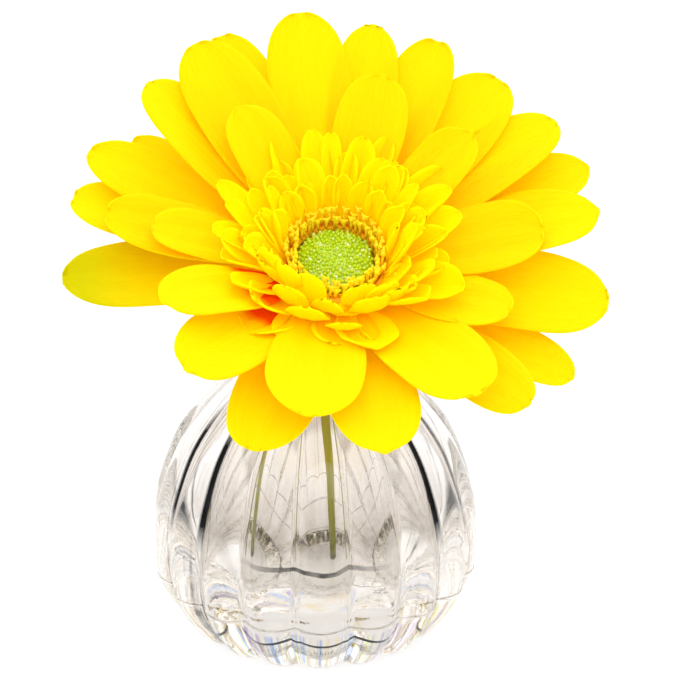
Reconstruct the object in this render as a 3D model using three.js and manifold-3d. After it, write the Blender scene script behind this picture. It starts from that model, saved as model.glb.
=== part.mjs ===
// A gerbera standing in a small ribbed glass vase.
// Units are millimetres, +Z is up, and the vase's flat underside is centred on the origin.
// The flower leans toward -Y, which is the side it is looked at from.

import * as THREE from 'three';
import { mergeVertices } from 'three/addons/utils/BufferGeometryUtils.js';
import Module from 'manifold-3d';

const wasm = await Module();
wasm.setup();

const WELD = 1e-4;                // points closer than this are one point
const DEGREE = Math.PI / 180;
const TURN = 2 * Math.PI;

// ---- the vase ----
const RIB_COUNT = 18;
const RIB_SEGMENTS = 4;
const RIB_CREST_ANGLE = -87;      // degrees from +X to one rib's crest
const RIB_DEPTH_SHARE = 0.078;    // valley depth as a share of the radius
const RIB_FADE_FROM = 60;         // height at which the ribs begin to fade
const RIB_FADE_TO = 72;           // height at which the neck is round
const GLASS_OUTLINE = [           // radius to the rib crests, height
  [28.0, 0.0],
  [29.6, 1.2],
  [31.3, 3.2],
  [34.8, 8.0],
  [37.3, 13.8],
  [38.0, 22.0],
  [37.5, 30.0],
  [35.4, 38.0],
  [31.0, 48.0],
  [23.0, 58.0],
  [16.4, 64.0],
  [12.8, 68.0],
  [12.0, 71.5],
  [12.9, 74.4],
  [12.4, 75.6],
  [11.2, 76.0],
];
const CAVITY_SEGMENTS = 36;
const CAVITY_OUTLINE = [          // radius, height
  [11.0, 4.6],
  [15.5, 5.4],
  [20.6, 8.6],
  [25.8, 13.8],
  [29.6, 20.0],
  [31.6, 27.0],
  [31.4, 36.0],
  [27.2, 48.0],
  [19.6, 58.0],
  [13.0, 64.0],
  [9.6, 68.0],
  [9.0, 71.5],
  [9.9, 76.5],
];
const CAVITY_FLOOR = 4.5;
const GAP = 0.3;                  // left between neighbouring pieces

// ---- the water ----
const WATER_LEVEL = 8.0;
const WATER_SEGMENTS = 36;

// ---- the flower head ----
const HEAD_CENTRE = new THREE.Vector3(4.6, -9, 91);
const HEAD_TILT = 30;             // degrees toward -Y
const HEAD_ROLL = 3;              // degrees toward +X

// ---- the stem and the green cup under the petals ----
const STEM_RADIUS = 1.6;
const STEM_SIDES = 10;
const STEM_STEPS = 14;
const STEM_FOOT = new THREE.Vector3(-3.6, 2.6, CAVITY_FLOOR + GAP);
const STEM_WAYPOINTS = [
  new THREE.Vector3(-2.0, 2.4, 34),
  new THREE.Vector3(-0.4, 2.2, 54),
  new THREE.Vector3(2.6, 1.2, 68),
];
const CUP_OUTLINE = [             // radius, height above the head's centre
  [2.7, -17.0],
  [3.0, -14.5],
  [5.0, -12.0],
  [8.0, -9.0],
  [10.0, -6.0],
  [10.4, -4.0],
];
const CUP_TOP = -3.9;
const CUP_SEGMENTS = 14;
const BRACT_ROWS = [              // lean is in degrees from the head's plane
  { root: -11.5, radius: 5.2, reach: 5.6, lean: 40, count: 10, phase: 0 },
  { root: -9.0, radius: 7.8, reach: 5.4, lean: 46, count: 12, phase: 0.5 },
  { root: -7.2, radius: 9.4, reach: 3.6, lean: 48, count: 14, phase: 0 },
];
const BRACT_SIDES = 4;
const BRACT_WIDTH = 1.5;
const BRACT_THICKNESS = 0.55;

// ---- the petals ----
const PETAL_THICKNESS = 0.8;
const PETAL_CUP = 0.16;           // how far a petal's sides lift, as a share of its width
const PETAL_ROOT_SHARE = 0.24;    // width at the root as a share of the full width
const PETAL_SHOULDER = 0.62;      // share of the length at which a petal is widest
const PETAL_SWELL = 1.2;          // how slowly a petal widens from its root
const PETAL_TIP_POWER = 2.8;      // higher is blunter
const PETAL_TIP_SHARE = 0.28;     // width of the tip's end as a share of the full width
const PETAL_CROWDING = 1.35;      // above 1, a blade's steps crowd toward its tip
const PETAL_ROOT_RADIUS = 9.6;
const CORE_OUTLINE = [            // radius, height above the head's centre
  [12.0, -3.6],
  [12.6, -1.0],
  [12.4, 1.6],
  [11.2, 3.4],
];
const CORE_SEGMENTS = 24;
const CORE_FLOOR = 0.6;
const CORE_WALL_RADIUS = 10.9;
const OPENING_TOP = 12;           // the space over the core's floor is open up to here

// azimuth runs from the head's right side round its far side;
// lift is the angle above the head's plane at the root; bend is added to it by the tip
const LONG_PETALS = [
  { azimuth: 99, length: 53, width: 19, lift: 26, bend: -6, root: 0, twist: 0 },
  { azimuth: 82, length: 52, width: 15, lift: 26, bend: -6, root: -1.5, twist: 4 },
  { azimuth: 67, length: 52, width: 16, lift: 22, bend: -6, root: 0, twist: -5 },
  { azimuth: 51, length: 52, width: 19, lift: 19, bend: -6, root: -1.5, twist: 4 },
  { azimuth: 35, length: 53, width: 17, lift: 17, bend: -6, root: 0, twist: -6 },
  { azimuth: 24, length: 54, width: 15, lift: 13, bend: -6, root: -1.5, twist: 3 },
  { azimuth: 10, length: 51, width: 18, lift: 16, bend: -8, root: 0, twist: -4 },
  { azimuth: 350, length: 52, width: 22, lift: 7, bend: -4, root: -1, twist: 3 },
  { azimuth: 332, length: 50, width: 13, lift: 4, bend: -4, root: -2.4, twist: 0 },
  { azimuth: 316, length: 49, width: 15, lift: 10, bend: -4, root: -1.6, twist: 8 },
  { azimuth: 304, length: 46, width: 21, lift: 20, bend: -4, root: 0, twist: -4 },
  { azimuth: 280, length: 50, width: 20, lift: 17, bend: -6, root: -1.5, twist: -6 },
  { azimuth: 263, length: 47, width: 21, lift: 25, bend: -8, root: 0, twist: 0 },
  { azimuth: 253, length: 51, width: 19, lift: 15, bend: -6, root: -1.6, twist: 6 },
  { azimuth: 233, length: 47, width: 18, lift: 25, bend: -6, root: -0.6, twist: -4 },
  { azimuth: 216, length: 42, width: 15, lift: 33, bend: -8, root: 0.6, twist: 0 },
  { azimuth: 186, length: 51, width: 20, lift: 5, bend: -6, root: -1.6, twist: 8 },
  { azimuth: 173, length: 43, width: 15, lift: 14, bend: -6, root: 0.2, twist: -4 },
  { azimuth: 166, length: 52, width: 16, lift: 8, bend: -6, root: -1, twist: 3 },
  { azimuth: 156, length: 52, width: 15, lift: 11, bend: -6, root: 0.2, twist: -4 },
  { azimuth: 145, length: 48, width: 13, lift: 8, bend: -6, root: -2.2, twist: 0 },
  { azimuth: 139, length: 51, width: 16, lift: 23, bend: -6, root: 0, twist: 4 },
  { azimuth: 125, length: 52, width: 19, lift: 26, bend: -6, root: 0.2, twist: -4 },
  { azimuth: 116, length: 55, width: 16, lift: 20, bend: -6, root: -1.8, twist: 3 },
];
const MIDDLE_PETALS = [
  { azimuth: 4, length: 38, width: 18, lift: 20, bend: -8, root: 1.2, twist: 4 },
  { azimuth: 333, length: 34, width: 15, lift: 18, bend: -6, root: 1.0, twist: -6 },
  { azimuth: 76, length: 37, width: 16, lift: 36, bend: -8, root: 1.2, twist: 6 },
  { azimuth: 178, length: 33, width: 13, lift: 20, bend: -6, root: 1.4, twist: 4 },
  { azimuth: 128, length: 33, width: 14, lift: 38, bend: -8, root: 1.4, twist: -4 },
  { azimuth: 40, length: 34, width: 13, lift: 34, bend: -8, root: 1.4, twist: 5 },
];
const LONG_STEPS = 6;
const MIDDLE_STEPS = 4;

// the short petals round the eye stand in rings, each petal varied by a seeded draw;
// on the near side they run outward first and then stand up like the side of a bowl
const SHORT_RINGS = [
  { count: 19, width: 7.6, root: 1.4, rootRadius: 10.6, phase: 4, seed: 7, steps: 3,
    far: { length: 22, lift: 38, bend: -8 }, near: { length: 25, lift: -4, bend: 92 } },
  { count: 17, width: 6.4, root: 2.0, rootRadius: 11.2, phase: 13, seed: 77, steps: 2,
    far: { length: 16, lift: 52, bend: -4 }, near: { length: 18, lift: 22, bend: 70 } },
  { count: 15, width: 5.2, root: 2.4, rootRadius: 11.6, phase: 0, seed: 177, steps: 2,
    far: { length: 10, lift: 62, bend: 6 }, near: { length: 7, lift: 20, bend: 50 } },
];
const NEAR_WIDENING = 0.6;        // share of the width gained on the near side
const AZIMUTH_SPREAD = 7;         // degrees
const LENGTH_SPREAD = 0.24;       // share of the length
const WIDTH_SPREAD = 0.3;         // share of the width
const LIFT_SPREAD = 12;           // degrees
const TWIST_SPREAD = 24;          // degrees

// ---- the golden fringe round the eye ----
const FRINGE_INNER = 9.1;
const FRINGE_OUTER = 10.5;
const FRINGE_BASE = 0.95;
const FRINGE_TOP = 2.6;
const FRINGE_SEGMENTS = 34;
const FLORET_COUNT = 34;
const FLORET_LENGTH = 5.0;
const FLORET_FOOT = 0.36;
const FLORET_HEAD = 0.56;
const FLORET_LEAN = 4;            // degrees outward
const FLORET_SIDES = 4;
const FLORET_ROOT_RADIUS = 9.8;
const FLORET_SEED = 300;
const FLORET_SHIFT = 0.5;         // share of the spacing
const FLORET_LENGTH_SPREAD = 0.4; // share of the length
const FLORET_LEAN_SPREAD = 8;     // degrees
const FLORET_SUNK = 1;
const FRINGE_SHOULDER = 0.5;

// ---- the green eye ----
const EYE_RADIUS = 8.6;
const EYE_BASE = 0.95;
const EYE_OUTLINE = [             // radius, height above the head's centre
  [8.6, 2.2],
  [7.6, 3.2],
  [5.4, 4.0],
  [2.8, 4.4],
];
const EYE_TOP = 4.5;
const BUD_RISE = 0.1;             // a bud's centre stands this far out of the eye
const EYE_SEGMENTS = 20;
const BUD_COUNT = 52;
const BUD_RADIUS = 0.72;
const BUD_REACH = 7.9;            // radius of the outermost buds' centres
const GOLDEN_ANGLE = 137.508;     // degrees

// ------------------------------------------------------------------ shared helpers

// a closed mesh built from a three.js geometry whose faces all point outward
function solid(geometry) {
  const bare = new THREE.BufferGeometry();
  bare.setAttribute('position', geometry.getAttribute('position').clone());
  if (geometry.index) {
    bare.setIndex(geometry.index.clone());
  }
  const welded = mergeVertices(bare, WELD);
  const points = welded.getAttribute('position');
  const corners = welded.index.array;
  const kept = [];
  for (let i = 0; i < corners.length; i += 3) {
    const [a, b, c] = [corners[i], corners[i + 1], corners[i + 2]];
    if (a !== b && b !== c && a !== c) {
      kept.push(a, b, c);
    }
  }
  return new wasm.Manifold(new wasm.Mesh({
    numProp: 3,
    vertProperties: Float32Array.from(points.array),
    triVerts: Uint32Array.from(kept),
  }));
}

function fuse(solids) {
  return solids.reduce((whole, piece) => whole.add(piece));
}

// the outer surface alone, so that pockets shut in between blades are filled
function withoutPockets(body) {
  return body.decompose().reduce((best, piece) => (piece.volume() > best.volume() ? piece : best));
}

function toMesh(body, name, colour, roughness, metalness, extras = {}) {
  const mesh = body.getMesh();
  const stride = mesh.numProp;
  const count = mesh.vertProperties.length / stride;
  const positions = new Float32Array(count * 3);
  for (let i = 0; i < count; i += 1) {
    positions[3 * i] = mesh.vertProperties[stride * i];
    positions[3 * i + 1] = mesh.vertProperties[stride * i + 1];
    positions[3 * i + 2] = mesh.vertProperties[stride * i + 2];
  }
  const geometry = new THREE.BufferGeometry();
  geometry.setAttribute('position', new THREE.BufferAttribute(positions, 3));
  geometry.setIndex(new THREE.BufferAttribute(Uint32Array.from(mesh.triVerts), 1));
  geometry.computeVertexNormals();
  const material = new THREE.MeshStandardMaterial({ color: colour, roughness, metalness, ...extras });
  const result = new THREE.Mesh(geometry, material);
  result.name = name;
  return result;
}

// a solid of revolution about Z from points of (radius, height), closed on the axis
function turned(outline, floor, ceiling, segments) {
  const profile = [new THREE.Vector2(0, floor)];
  for (const [radius, height] of outline) {
    profile.push(new THREE.Vector2(radius, height));
  }
  profile.push(new THREE.Vector2(0, ceiling));
  return new THREE.LatheGeometry(profile, segments).rotateX(Math.PI / 2);
}

// a value from -0.5 to 0.5 that depends only on its seed
function draw(seed) {
  const value = Math.sin(seed * 12.9898 + 4.1) * 43758.5453;
  return value - Math.floor(value) - 0.5;
}

// ------------------------------------------------------------------ the head's own frame

function headFrame() {
  const tilt = HEAD_TILT * DEGREE;
  const roll = HEAD_ROLL * DEGREE;
  const up = new THREE.Vector3(Math.sin(roll), -Math.sin(tilt), Math.cos(tilt)).normalize();
  const right = new THREE.Vector3(1, 0, 0);
  right.addScaledVector(up, -up.x).normalize();
  const far = new THREE.Vector3().crossVectors(up, right);
  const frame = new THREE.Matrix4().makeBasis(right, far, up);
  frame.setPosition(HEAD_CENTRE);
  return frame;
}

const HEAD = headFrame();

// ------------------------------------------------------------------ the vase and the water

function ribDepth(height) {
  const fade = (RIB_FADE_TO - height) / (RIB_FADE_TO - RIB_FADE_FROM);
  return RIB_DEPTH_SHARE * Math.min(1, Math.max(0, fade));
}

// each rib bulges between two sharp valleys
function ribbed(geometry) {
  const points = geometry.getAttribute('position');
  const spacing = TURN / RIB_COUNT;
  for (let i = 0; i < points.count; i += 1) {
    const x = points.getX(i);
    const y = points.getY(i);
    const z = points.getZ(i);
    const turns = (Math.atan2(y, x) - RIB_CREST_ANGLE * DEGREE) / spacing;
    const offset = 2 * (turns - Math.round(turns));
    const scale = 1 - ribDepth(z) * offset * offset;
    points.setXYZ(i, x * scale, y * scale, z);
  }
  return geometry;
}

function makeVase() {
  const columns = RIB_COUNT * RIB_SEGMENTS;
  const outer = turned(GLASS_OUTLINE, 0, GLASS_OUTLINE[GLASS_OUTLINE.length - 1][1], columns);
  outer.rotateZ(RIB_CREST_ANGLE * DEGREE + Math.PI / 2);
  const cavityTop = CAVITY_OUTLINE[CAVITY_OUTLINE.length - 1][1];
  const cavity = turned(CAVITY_OUTLINE, CAVITY_FLOOR, cavityTop, CAVITY_SEGMENTS);
  return solid(ribbed(outer)).subtract(solid(cavity));
}

function makeWater(stemPath) {
  const outline = [];
  let below = [0, CAVITY_FLOOR];
  for (const [radius, height] of CAVITY_OUTLINE) {
    if (height >= WATER_LEVEL) {
      const share = (WATER_LEVEL - below[1]) / (height - below[1]);
      outline.push([below[0] + share * (radius - below[0]) - GAP, WATER_LEVEL]);
      break;
    }
    outline.push([radius - GAP, height + GAP]);
    below = [radius, height];
  }
  const body = solid(turned(outline, CAVITY_FLOOR + GAP, WATER_LEVEL, WATER_SEGMENTS));
  return body.subtract(tube(stemPath, STEM_RADIUS + GAP, GAP));
}

// ------------------------------------------------------------------ the stem

function makeStemPath() {
  const cupFoot = new THREE.Vector3(0, 0, CUP_OUTLINE[0][1] + 1).applyMatrix4(HEAD);
  const cupInside = new THREE.Vector3(0, 0, CUP_OUTLINE[3][1]).applyMatrix4(HEAD);
  return new THREE.CatmullRomCurve3([STEM_FOOT, ...STEM_WAYPOINTS, cupFoot, cupInside]);
}

// a round bar along a path; overrun lengthens it below the path's start
function tube(path, radius, overrun) {
  const start = path.points[0].clone();
  start.z -= overrun;
  const points = overrun > 0 ? [start, ...path.points] : path.points;
  const section = new THREE.Shape();
  for (let i = 0; i < STEM_SIDES; i += 1) {
    const angle = TURN * i / STEM_SIDES;
    const x = radius * Math.cos(angle);
    const y = radius * Math.sin(angle);
    if (i === 0) {
      section.moveTo(x, y);
    } else {
      section.lineTo(x, y);
    }
  }
  section.closePath();
  return solid(new THREE.ExtrudeGeometry(section, {
    steps: STEM_STEPS,
    bevelEnabled: false,
    extrudePath: new THREE.CatmullRomCurve3(points),
  }));
}

// one green scale: a slim flattened spike leaning away from the cup
function bract(row, index) {
  const angle = TURN * (index + row.phase) / row.count;
  const spike = new THREE.ConeGeometry(BRACT_WIDTH, row.reach * 2, BRACT_SIDES);
  spike.rotateX(Math.PI / 2);
  spike.rotateZ(Math.PI / 4);
  spike.scale(BRACT_THICKNESS, 1, 1);
  spike.rotateY((90 - row.lean) * DEGREE);
  spike.translate(row.radius, 0, row.root);
  spike.rotateZ(angle);
  return solid(spike);
}

function makeStem(stemPath) {
  const cup = [solid(turned(CUP_OUTLINE, CUP_OUTLINE[0][1], CUP_TOP, CUP_SEGMENTS))];
  for (const row of BRACT_ROWS) {
    for (let i = 0; i < row.count; i += 1) {
      cup.push(bract(row, i));
    }
  }
  const head = fuse(cup).transform(HEAD.elements);
  return tube(stemPath, STEM_RADIUS, 0).add(head);
}

// ------------------------------------------------------------------ the petals

// share of the full width at a share of the length
function petalWidth(along) {
  const rise = Math.min(1, along / PETAL_SHOULDER);
  const body = PETAL_ROOT_SHARE
    + (1 - PETAL_ROOT_SHARE) * Math.pow(Math.sin(rise * Math.PI / 2), PETAL_SWELL);
  const past = Math.max(0, (along - PETAL_SHOULDER) / (1 - PETAL_SHOULDER));
  const end = Math.sqrt(Math.max(0, 1 - Math.pow(past, PETAL_TIP_POWER)));
  return body * Math.max(PETAL_TIP_SHARE, end);
}

// a blade of even thickness: two grids of points, one for each face, stitched round the edge
function petal(shape, steps) {
  const azimuth = shape.azimuth * DEGREE;
  const outward = new THREE.Vector3(Math.cos(azimuth), Math.sin(azimuth), 0);
  const across = new THREE.Vector3(-Math.sin(azimuth), Math.cos(azimuth), 0);
  const columns = 2;
  const faces = [[], []];
  let reach = shape.rootRadius ?? PETAL_ROOT_RADIUS;
  let rise = shape.root;
  let passed = 0;
  for (let i = 0; i <= steps; i += 1) {
    const along = 1 - Math.pow(1 - i / steps, PETAL_CROWDING);
    const slope = (shape.lift + shape.bend * along) * DEGREE;
    reach += Math.cos(slope) * shape.length * (along - passed);
    rise += Math.sin(slope) * shape.length * (along - passed);
    passed = along;
    const normal = new THREE.Vector3(0, 0, Math.cos(slope)).addScaledVector(outward, -Math.sin(slope));
    const twist = shape.twist * along * DEGREE;
    const side = across.clone().multiplyScalar(Math.cos(twist)).addScaledVector(normal, Math.sin(twist));
    const face = normal.clone().multiplyScalar(Math.cos(twist)).addScaledVector(across, -Math.sin(twist));
    const half = shape.width * petalWidth(along) / 2;
    for (let j = 0; j <= columns; j += 1) {
      const v = 2 * j / columns - 1;
      const point = outward.clone().multiplyScalar(reach);
      point.z += rise;
      point.addScaledVector(side, v * half).addScaledVector(face, PETAL_CUP * v * v * half);
      faces[0].push(point);
      faces[1].push(point.clone().addScaledVector(face, -PETAL_THICKNESS));
    }
  }
  const points = [...faces[0], ...faces[1]];
  const under = faces[0].length;
  const at = (layer, i, j) => layer * under + i * (columns + 1) + j;
  const corners = [];
  const quad = (a, b, c, d) => corners.push(a, b, c, a, c, d);
  for (let i = 0; i < steps; i += 1) {
    quad(at(0, i, 0), at(0, i + 1, 0), at(0, i + 1, 1), at(0, i, 1));
    corners.push(at(0, i, 1), at(0, i + 1, 1), at(0, i, 2));
    corners.push(at(0, i + 1, 1), at(0, i + 1, 2), at(0, i, 2));
    corners.push(at(1, i, 0), at(1, i + 1, 1), at(1, i + 1, 0));
    corners.push(at(1, i, 0), at(1, i, 1), at(1, i + 1, 1));
    corners.push(at(1, i, 1), at(1, i, 2), at(1, i + 1, 1));
    corners.push(at(1, i + 1, 1), at(1, i, 2), at(1, i + 1, 2));
    quad(at(0, i, 0), at(1, i, 0), at(1, i + 1, 0), at(0, i + 1, 0));
    quad(at(0, i, 2), at(0, i + 1, 2), at(1, i + 1, 2), at(1, i, 2));
  }
  for (let j = 0; j < columns; j += 1) {
    quad(at(0, 0, j), at(0, 0, j + 1), at(1, 0, j + 1), at(1, 0, j));
    quad(at(0, steps, j), at(1, steps, j), at(1, steps, j + 1), at(0, steps, j + 1));
  }
  const geometry = new THREE.BufferGeometry();
  const flat = points.flatMap((point) => point.toArray());
  geometry.setAttribute('position', new THREE.Float32BufferAttribute(flat, 3));
  geometry.setIndex(corners);
  return solid(geometry);
}

function ringOfPetals(ring) {
  const made = [];
  for (let i = 0; i < ring.count; i += 1) {
    const seed = ring.seed + 5 * i;
    const azimuth = ring.phase + 360 * i / ring.count + AZIMUTH_SPREAD * draw(seed);
    const nearness = Math.max(0, -Math.sin(azimuth * DEGREE));
    const between = (name) => THREE.MathUtils.lerp(ring.far[name], ring.near[name], nearness);
    made.push(petal({
      azimuth,
      length: between('length') * (1 + LENGTH_SPREAD * draw(seed + 1)),
      width: ring.width * (1 + NEAR_WIDENING * nearness) * (1 + WIDTH_SPREAD * draw(seed + 2)),
      lift: between('lift') + LIFT_SPREAD * draw(seed + 3),
      bend: between('bend'),
      root: ring.root,
      rootRadius: ring.rootRadius,
      twist: TWIST_SPREAD * draw(seed + 4),
    }, ring.steps));
  }
  return made;
}

function makePetals() {
  const core = turned(
    [...CORE_OUTLINE, [CORE_WALL_RADIUS, CORE_OUTLINE[3][1]], [CORE_WALL_RADIUS, CORE_FLOOR]],
    CORE_OUTLINE[0][1],
    CORE_FLOOR,
    CORE_SEGMENTS,
  );
  const blades = [];
  for (const shape of LONG_PETALS) {
    blades.push(petal(shape, LONG_STEPS));
  }
  for (const shape of MIDDLE_PETALS) {
    blades.push(petal(shape, MIDDLE_STEPS));
  }
  for (const ring of SHORT_RINGS) {
    blades.push(...ringOfPetals(ring));
  }
  // the middle is kept open for the fringe and the eye
  const wall = [[CORE_WALL_RADIUS, CORE_FLOOR], [CORE_WALL_RADIUS, OPENING_TOP]];
  const opening = solid(turned(wall, CORE_FLOOR, OPENING_TOP, CORE_SEGMENTS));
  const whole = fuse([solid(core), ...blades]).subtract(opening);
  return withoutPockets(whole).transform(HEAD.elements);
}

// ------------------------------------------------------------------ the fringe and the eye

function floret(index) {
  const seed = FLORET_SEED + 3 * index;
  const angle = TURN * (index + FLORET_SHIFT * draw(seed)) / FLORET_COUNT;
  const length = FLORET_LENGTH * (1 + FLORET_LENGTH_SPREAD * draw(seed + 1));
  const body = new THREE.CylinderGeometry(FLORET_HEAD, FLORET_FOOT, length, FLORET_SIDES);
  body.rotateX(Math.PI / 2);
  body.translate(0, 0, length / 2);
  body.rotateY((FLORET_LEAN + FLORET_LEAN_SPREAD * draw(seed + 2)) * DEGREE);
  body.translate(FLORET_ROOT_RADIUS, 0, FRINGE_TOP - FLORET_SUNK);
  body.rotateZ(angle);
  return solid(body);
}

function makeFringe() {
  const section = [
    new THREE.Vector2(FRINGE_INNER, FRINGE_BASE),
    new THREE.Vector2(FRINGE_OUTER, FRINGE_BASE),
    new THREE.Vector2(FRINGE_OUTER, FRINGE_TOP - FRINGE_SHOULDER),
    new THREE.Vector2(FLORET_ROOT_RADIUS, FRINGE_TOP),
    new THREE.Vector2(FRINGE_INNER, FRINGE_TOP - FRINGE_SHOULDER),
    new THREE.Vector2(FRINGE_INNER, FRINGE_BASE),
  ];
  const pieces = [solid(new THREE.LatheGeometry(section, FRINGE_SEGMENTS).rotateX(Math.PI / 2))];
  for (let i = 0; i < FLORET_COUNT; i += 1) {
    pieces.push(floret(i));
  }
  return fuse(pieces).transform(HEAD.elements);
}

function eyeHeight(radius) {
  const points = [[EYE_RADIUS, EYE_OUTLINE[0][1]], ...EYE_OUTLINE.slice(1), [0, EYE_TOP]];
  for (let i = 1; i < points.length; i += 1) {
    const [outer, low] = points[i - 1];
    const [inner, high] = points[i];
    if (radius >= inner) {
      return low + (high - low) * (outer - radius) / (outer - inner);
    }
  }
  return EYE_TOP;
}

function makeEye() {
  const pieces = [solid(turned([[EYE_RADIUS, EYE_BASE], ...EYE_OUTLINE], EYE_BASE, EYE_TOP, EYE_SEGMENTS))];
  for (let i = 0; i < BUD_COUNT; i += 1) {
    const radius = BUD_REACH * Math.sqrt((i + 0.5) / BUD_COUNT);
    const angle = GOLDEN_ANGLE * i * DEGREE;
    const bud = new THREE.OctahedronGeometry(BUD_RADIUS, 0);
    bud.rotateZ(angle);
    bud.translate(radius * Math.cos(angle), radius * Math.sin(angle), eyeHeight(radius) + BUD_RISE);
    pieces.push(solid(bud));
  }
  return fuse(pieces).transform(HEAD.elements);
}

// ------------------------------------------------------------------ the whole

const stemPath = makeStemPath();
const whole = new THREE.Group();
whole.name = 'gerbera_in_ribbed_vase';
whole.add(toMesh(makeVase(), 'vase', 0xe6e6e2, 0.05, 0, { transparent: true, opacity: 0.45 }));
whole.add(toMesh(makeWater(stemPath), 'water', 0xdfe8ea, 0.03, 0, { transparent: true, opacity: 0.5 }));
whole.add(toMesh(makeStem(stemPath), 'stem', 0x8a9a3c, 0.6, 0));
whole.add(toMesh(makePetals(), 'petals', 0xffe600, 0.55, 0));
whole.add(toMesh(makeFringe(), 'fringe', 0xf2b705, 0.6, 0));
whole.add(toMesh(makeEye(), 'eye', 0xa9c81e, 0.4, 0));

export default whole;
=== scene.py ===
"""A yellow gerbera in a ribbed glass vase: the looks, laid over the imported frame."""

import math
import random
from collections import namedtuple

import bmesh
import bpy
from bpy.props import FloatProperty, FloatVectorProperty, IntProperty, PointerProperty
from mathutils import Matrix, Vector
from mathutils.geometry import interpolate_bezier


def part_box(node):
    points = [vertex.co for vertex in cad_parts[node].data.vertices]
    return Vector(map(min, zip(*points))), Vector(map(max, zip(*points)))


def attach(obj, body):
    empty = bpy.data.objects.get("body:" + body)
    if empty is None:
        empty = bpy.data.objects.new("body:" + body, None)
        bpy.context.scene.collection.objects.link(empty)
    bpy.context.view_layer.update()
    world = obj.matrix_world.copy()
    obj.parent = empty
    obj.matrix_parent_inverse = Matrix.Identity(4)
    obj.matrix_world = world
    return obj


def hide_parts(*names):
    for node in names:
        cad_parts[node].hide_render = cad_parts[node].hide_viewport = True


bl_info = {
    "name": "Gerbera in a Ribbed Vase",
    "version": (1, 0, 0),
    "blender": (4, 5, 0),
    "location": "3D Viewport > Sidebar > Gerbera",
    "description": "Builds the glass, the water and the flower over the packed frame, and their studio",
    "category": "Object",
}

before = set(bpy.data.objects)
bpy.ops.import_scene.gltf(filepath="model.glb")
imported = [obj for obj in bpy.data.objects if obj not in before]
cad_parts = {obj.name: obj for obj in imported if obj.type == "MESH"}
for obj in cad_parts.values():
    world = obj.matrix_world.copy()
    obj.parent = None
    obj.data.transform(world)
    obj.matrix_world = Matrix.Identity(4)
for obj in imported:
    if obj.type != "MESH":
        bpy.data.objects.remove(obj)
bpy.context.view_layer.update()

MM = 0.001
TURN = 2 * math.pi

# ---- places shared with the frame, in millimetres ----
WATER_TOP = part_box("water")[1][2]
RIB_COUNT = 18
RIB_CREST_ANGLE = math.radians(-87)
RIB_FADE_FROM = 60
RIB_FADE_TO = 72
GLASS_OUTLINE = [  # radius to the rib crests, height
    (27.6, 0.0),
    (28.6, 0.35),
    (29.6, 1.2),
    (31.3, 3.2),
    (34.8, 8.0),
    (37.3, 13.8),
    (38.0, 22.0),
    (37.5, 30.0),
    (35.4, 38.0),
    (31.0, 48.0),
    (23.0, 58.0),
    (16.4, 64.0),
    (12.8, 68.0),
    (12.0, 71.5),
    (12.9, 74.4),
    (12.4, 75.6),
    (11.2, 76.0),
]
CAVITY_OUTLINE = [  # radius, height, from the lip down
    (11.2, 76.0),
    (10.2, 75.6),
    (9.2, 73.6),
    (9.0, 71.5),
    (9.6, 68.0),
    (13.0, 64.0),
    (19.6, 58.0),
    (27.2, 48.0),
    (31.4, 36.0),
    (31.6, 27.0),
    (29.6, 20.0),
    (25.8, 13.8),
    (20.6, 8.6),
    (15.5, 5.4),
    (11.0, 4.6),
    (0.0, 4.5),
]
SEAM_HEIGHT = 13.8
SEAM_HALF_WIDTH = 0.4
SEAM_RISE = 0.3
UNDERSIDE_RISE = 0.6
UNDERSIDE_EDGE = [(22.5, UNDERSIDE_RISE), (23.5, 0.35), (24.2, 0.05), (24.8, 0)]
UNDERSIDE_RADIUS = 24  # inside it the underside has no ribs
KNURL_RADIUS = 13.6
KNURL_HALF_WIDTH = 1.7
KNURLS_PER_RIB = 4
SLIVER_SPAN = (27, 58)  # heights between which the valleys at the sides are dark
# a thin dark line of painted shade round the front of the glass at this height
SHADE_LINE_HEIGHT = 29.2
SHADE_LINE_HALF_WIDTH = 0.7
SHADE_BAND_SPAN = (30, 49)  # heights between which the ribs' faces get a band of painted shade
GRAINY_SPAN = (12, 30)
FOOT_SPAN = (1, 12.5)  # heights between which painted colours on the foot stand in for the light that it splits
FOOT_RADIUS = 26.5
WALL_RADIUS = 33  # between the cavity and the outside at the height of the painted shade line
STEM_POINTS = [
    (-3.6, 2.6, 4.8),
    (-2.0, 2.4, 34),
    (-0.4, 2.2, 54),
    (2.6, 1.2, 68),
]
HEAD_CENTRE = Vector((4.6, -9, 91))
HEAD_TILT = math.radians(30)
HEAD_ROLL = math.radians(3)
CUP_OUTLINE = [  # radius, height above the head's centre
    (2.7, -17.0),
    (3.0, -14.5),
    (5.0, -12.0),
    (8.0, -9.0),
    (10.0, -6.0),
    (10.3, -4.2),
]
CUP_TOP = -3.9
CORE_OUTLINE = [
    (11.9, -3.6),
    (12.4, -1.0),
    (12.2, 1.6),
    (11.1, 3.2),
    (10.9, 0.6),
]
CORE_FLOOR = 0.6
CUP_EDGE_RADIUS = 9.6
BRACT_ROWS = [  # root, radius, reach, lean
    (-12.0, 4.9, 8.0, 40),
    (-9.8, 7.0, 7.4, 44),
    (-7.6, 9.0, 4.6, 46),
]
FRINGE_SEAT = [(9.1, 0.95), (10.5, 0.95), (10.5, 2.1), (9.8, 2.5), (9.1, 2.1), (9.1, 0.95)]
FLORET_ROWS = [(9.5, -2, 4.4), (10.3, 8, 5.2)]  # radius, lean, height
FLORET_FOOT = 1.6
EYE_OUTLINE = [(8.5, 0.95), (8.6, 2.0), (7.7, 3.1), (5.4, 3.9), (2.8, 4.3), (0.0, 4.4)]
EYE_SPREAD = 8.35  # radius of the outermost buds
EYE_CREST = 4.35
GOLDEN_ANGLE = math.radians(137.508)

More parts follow.
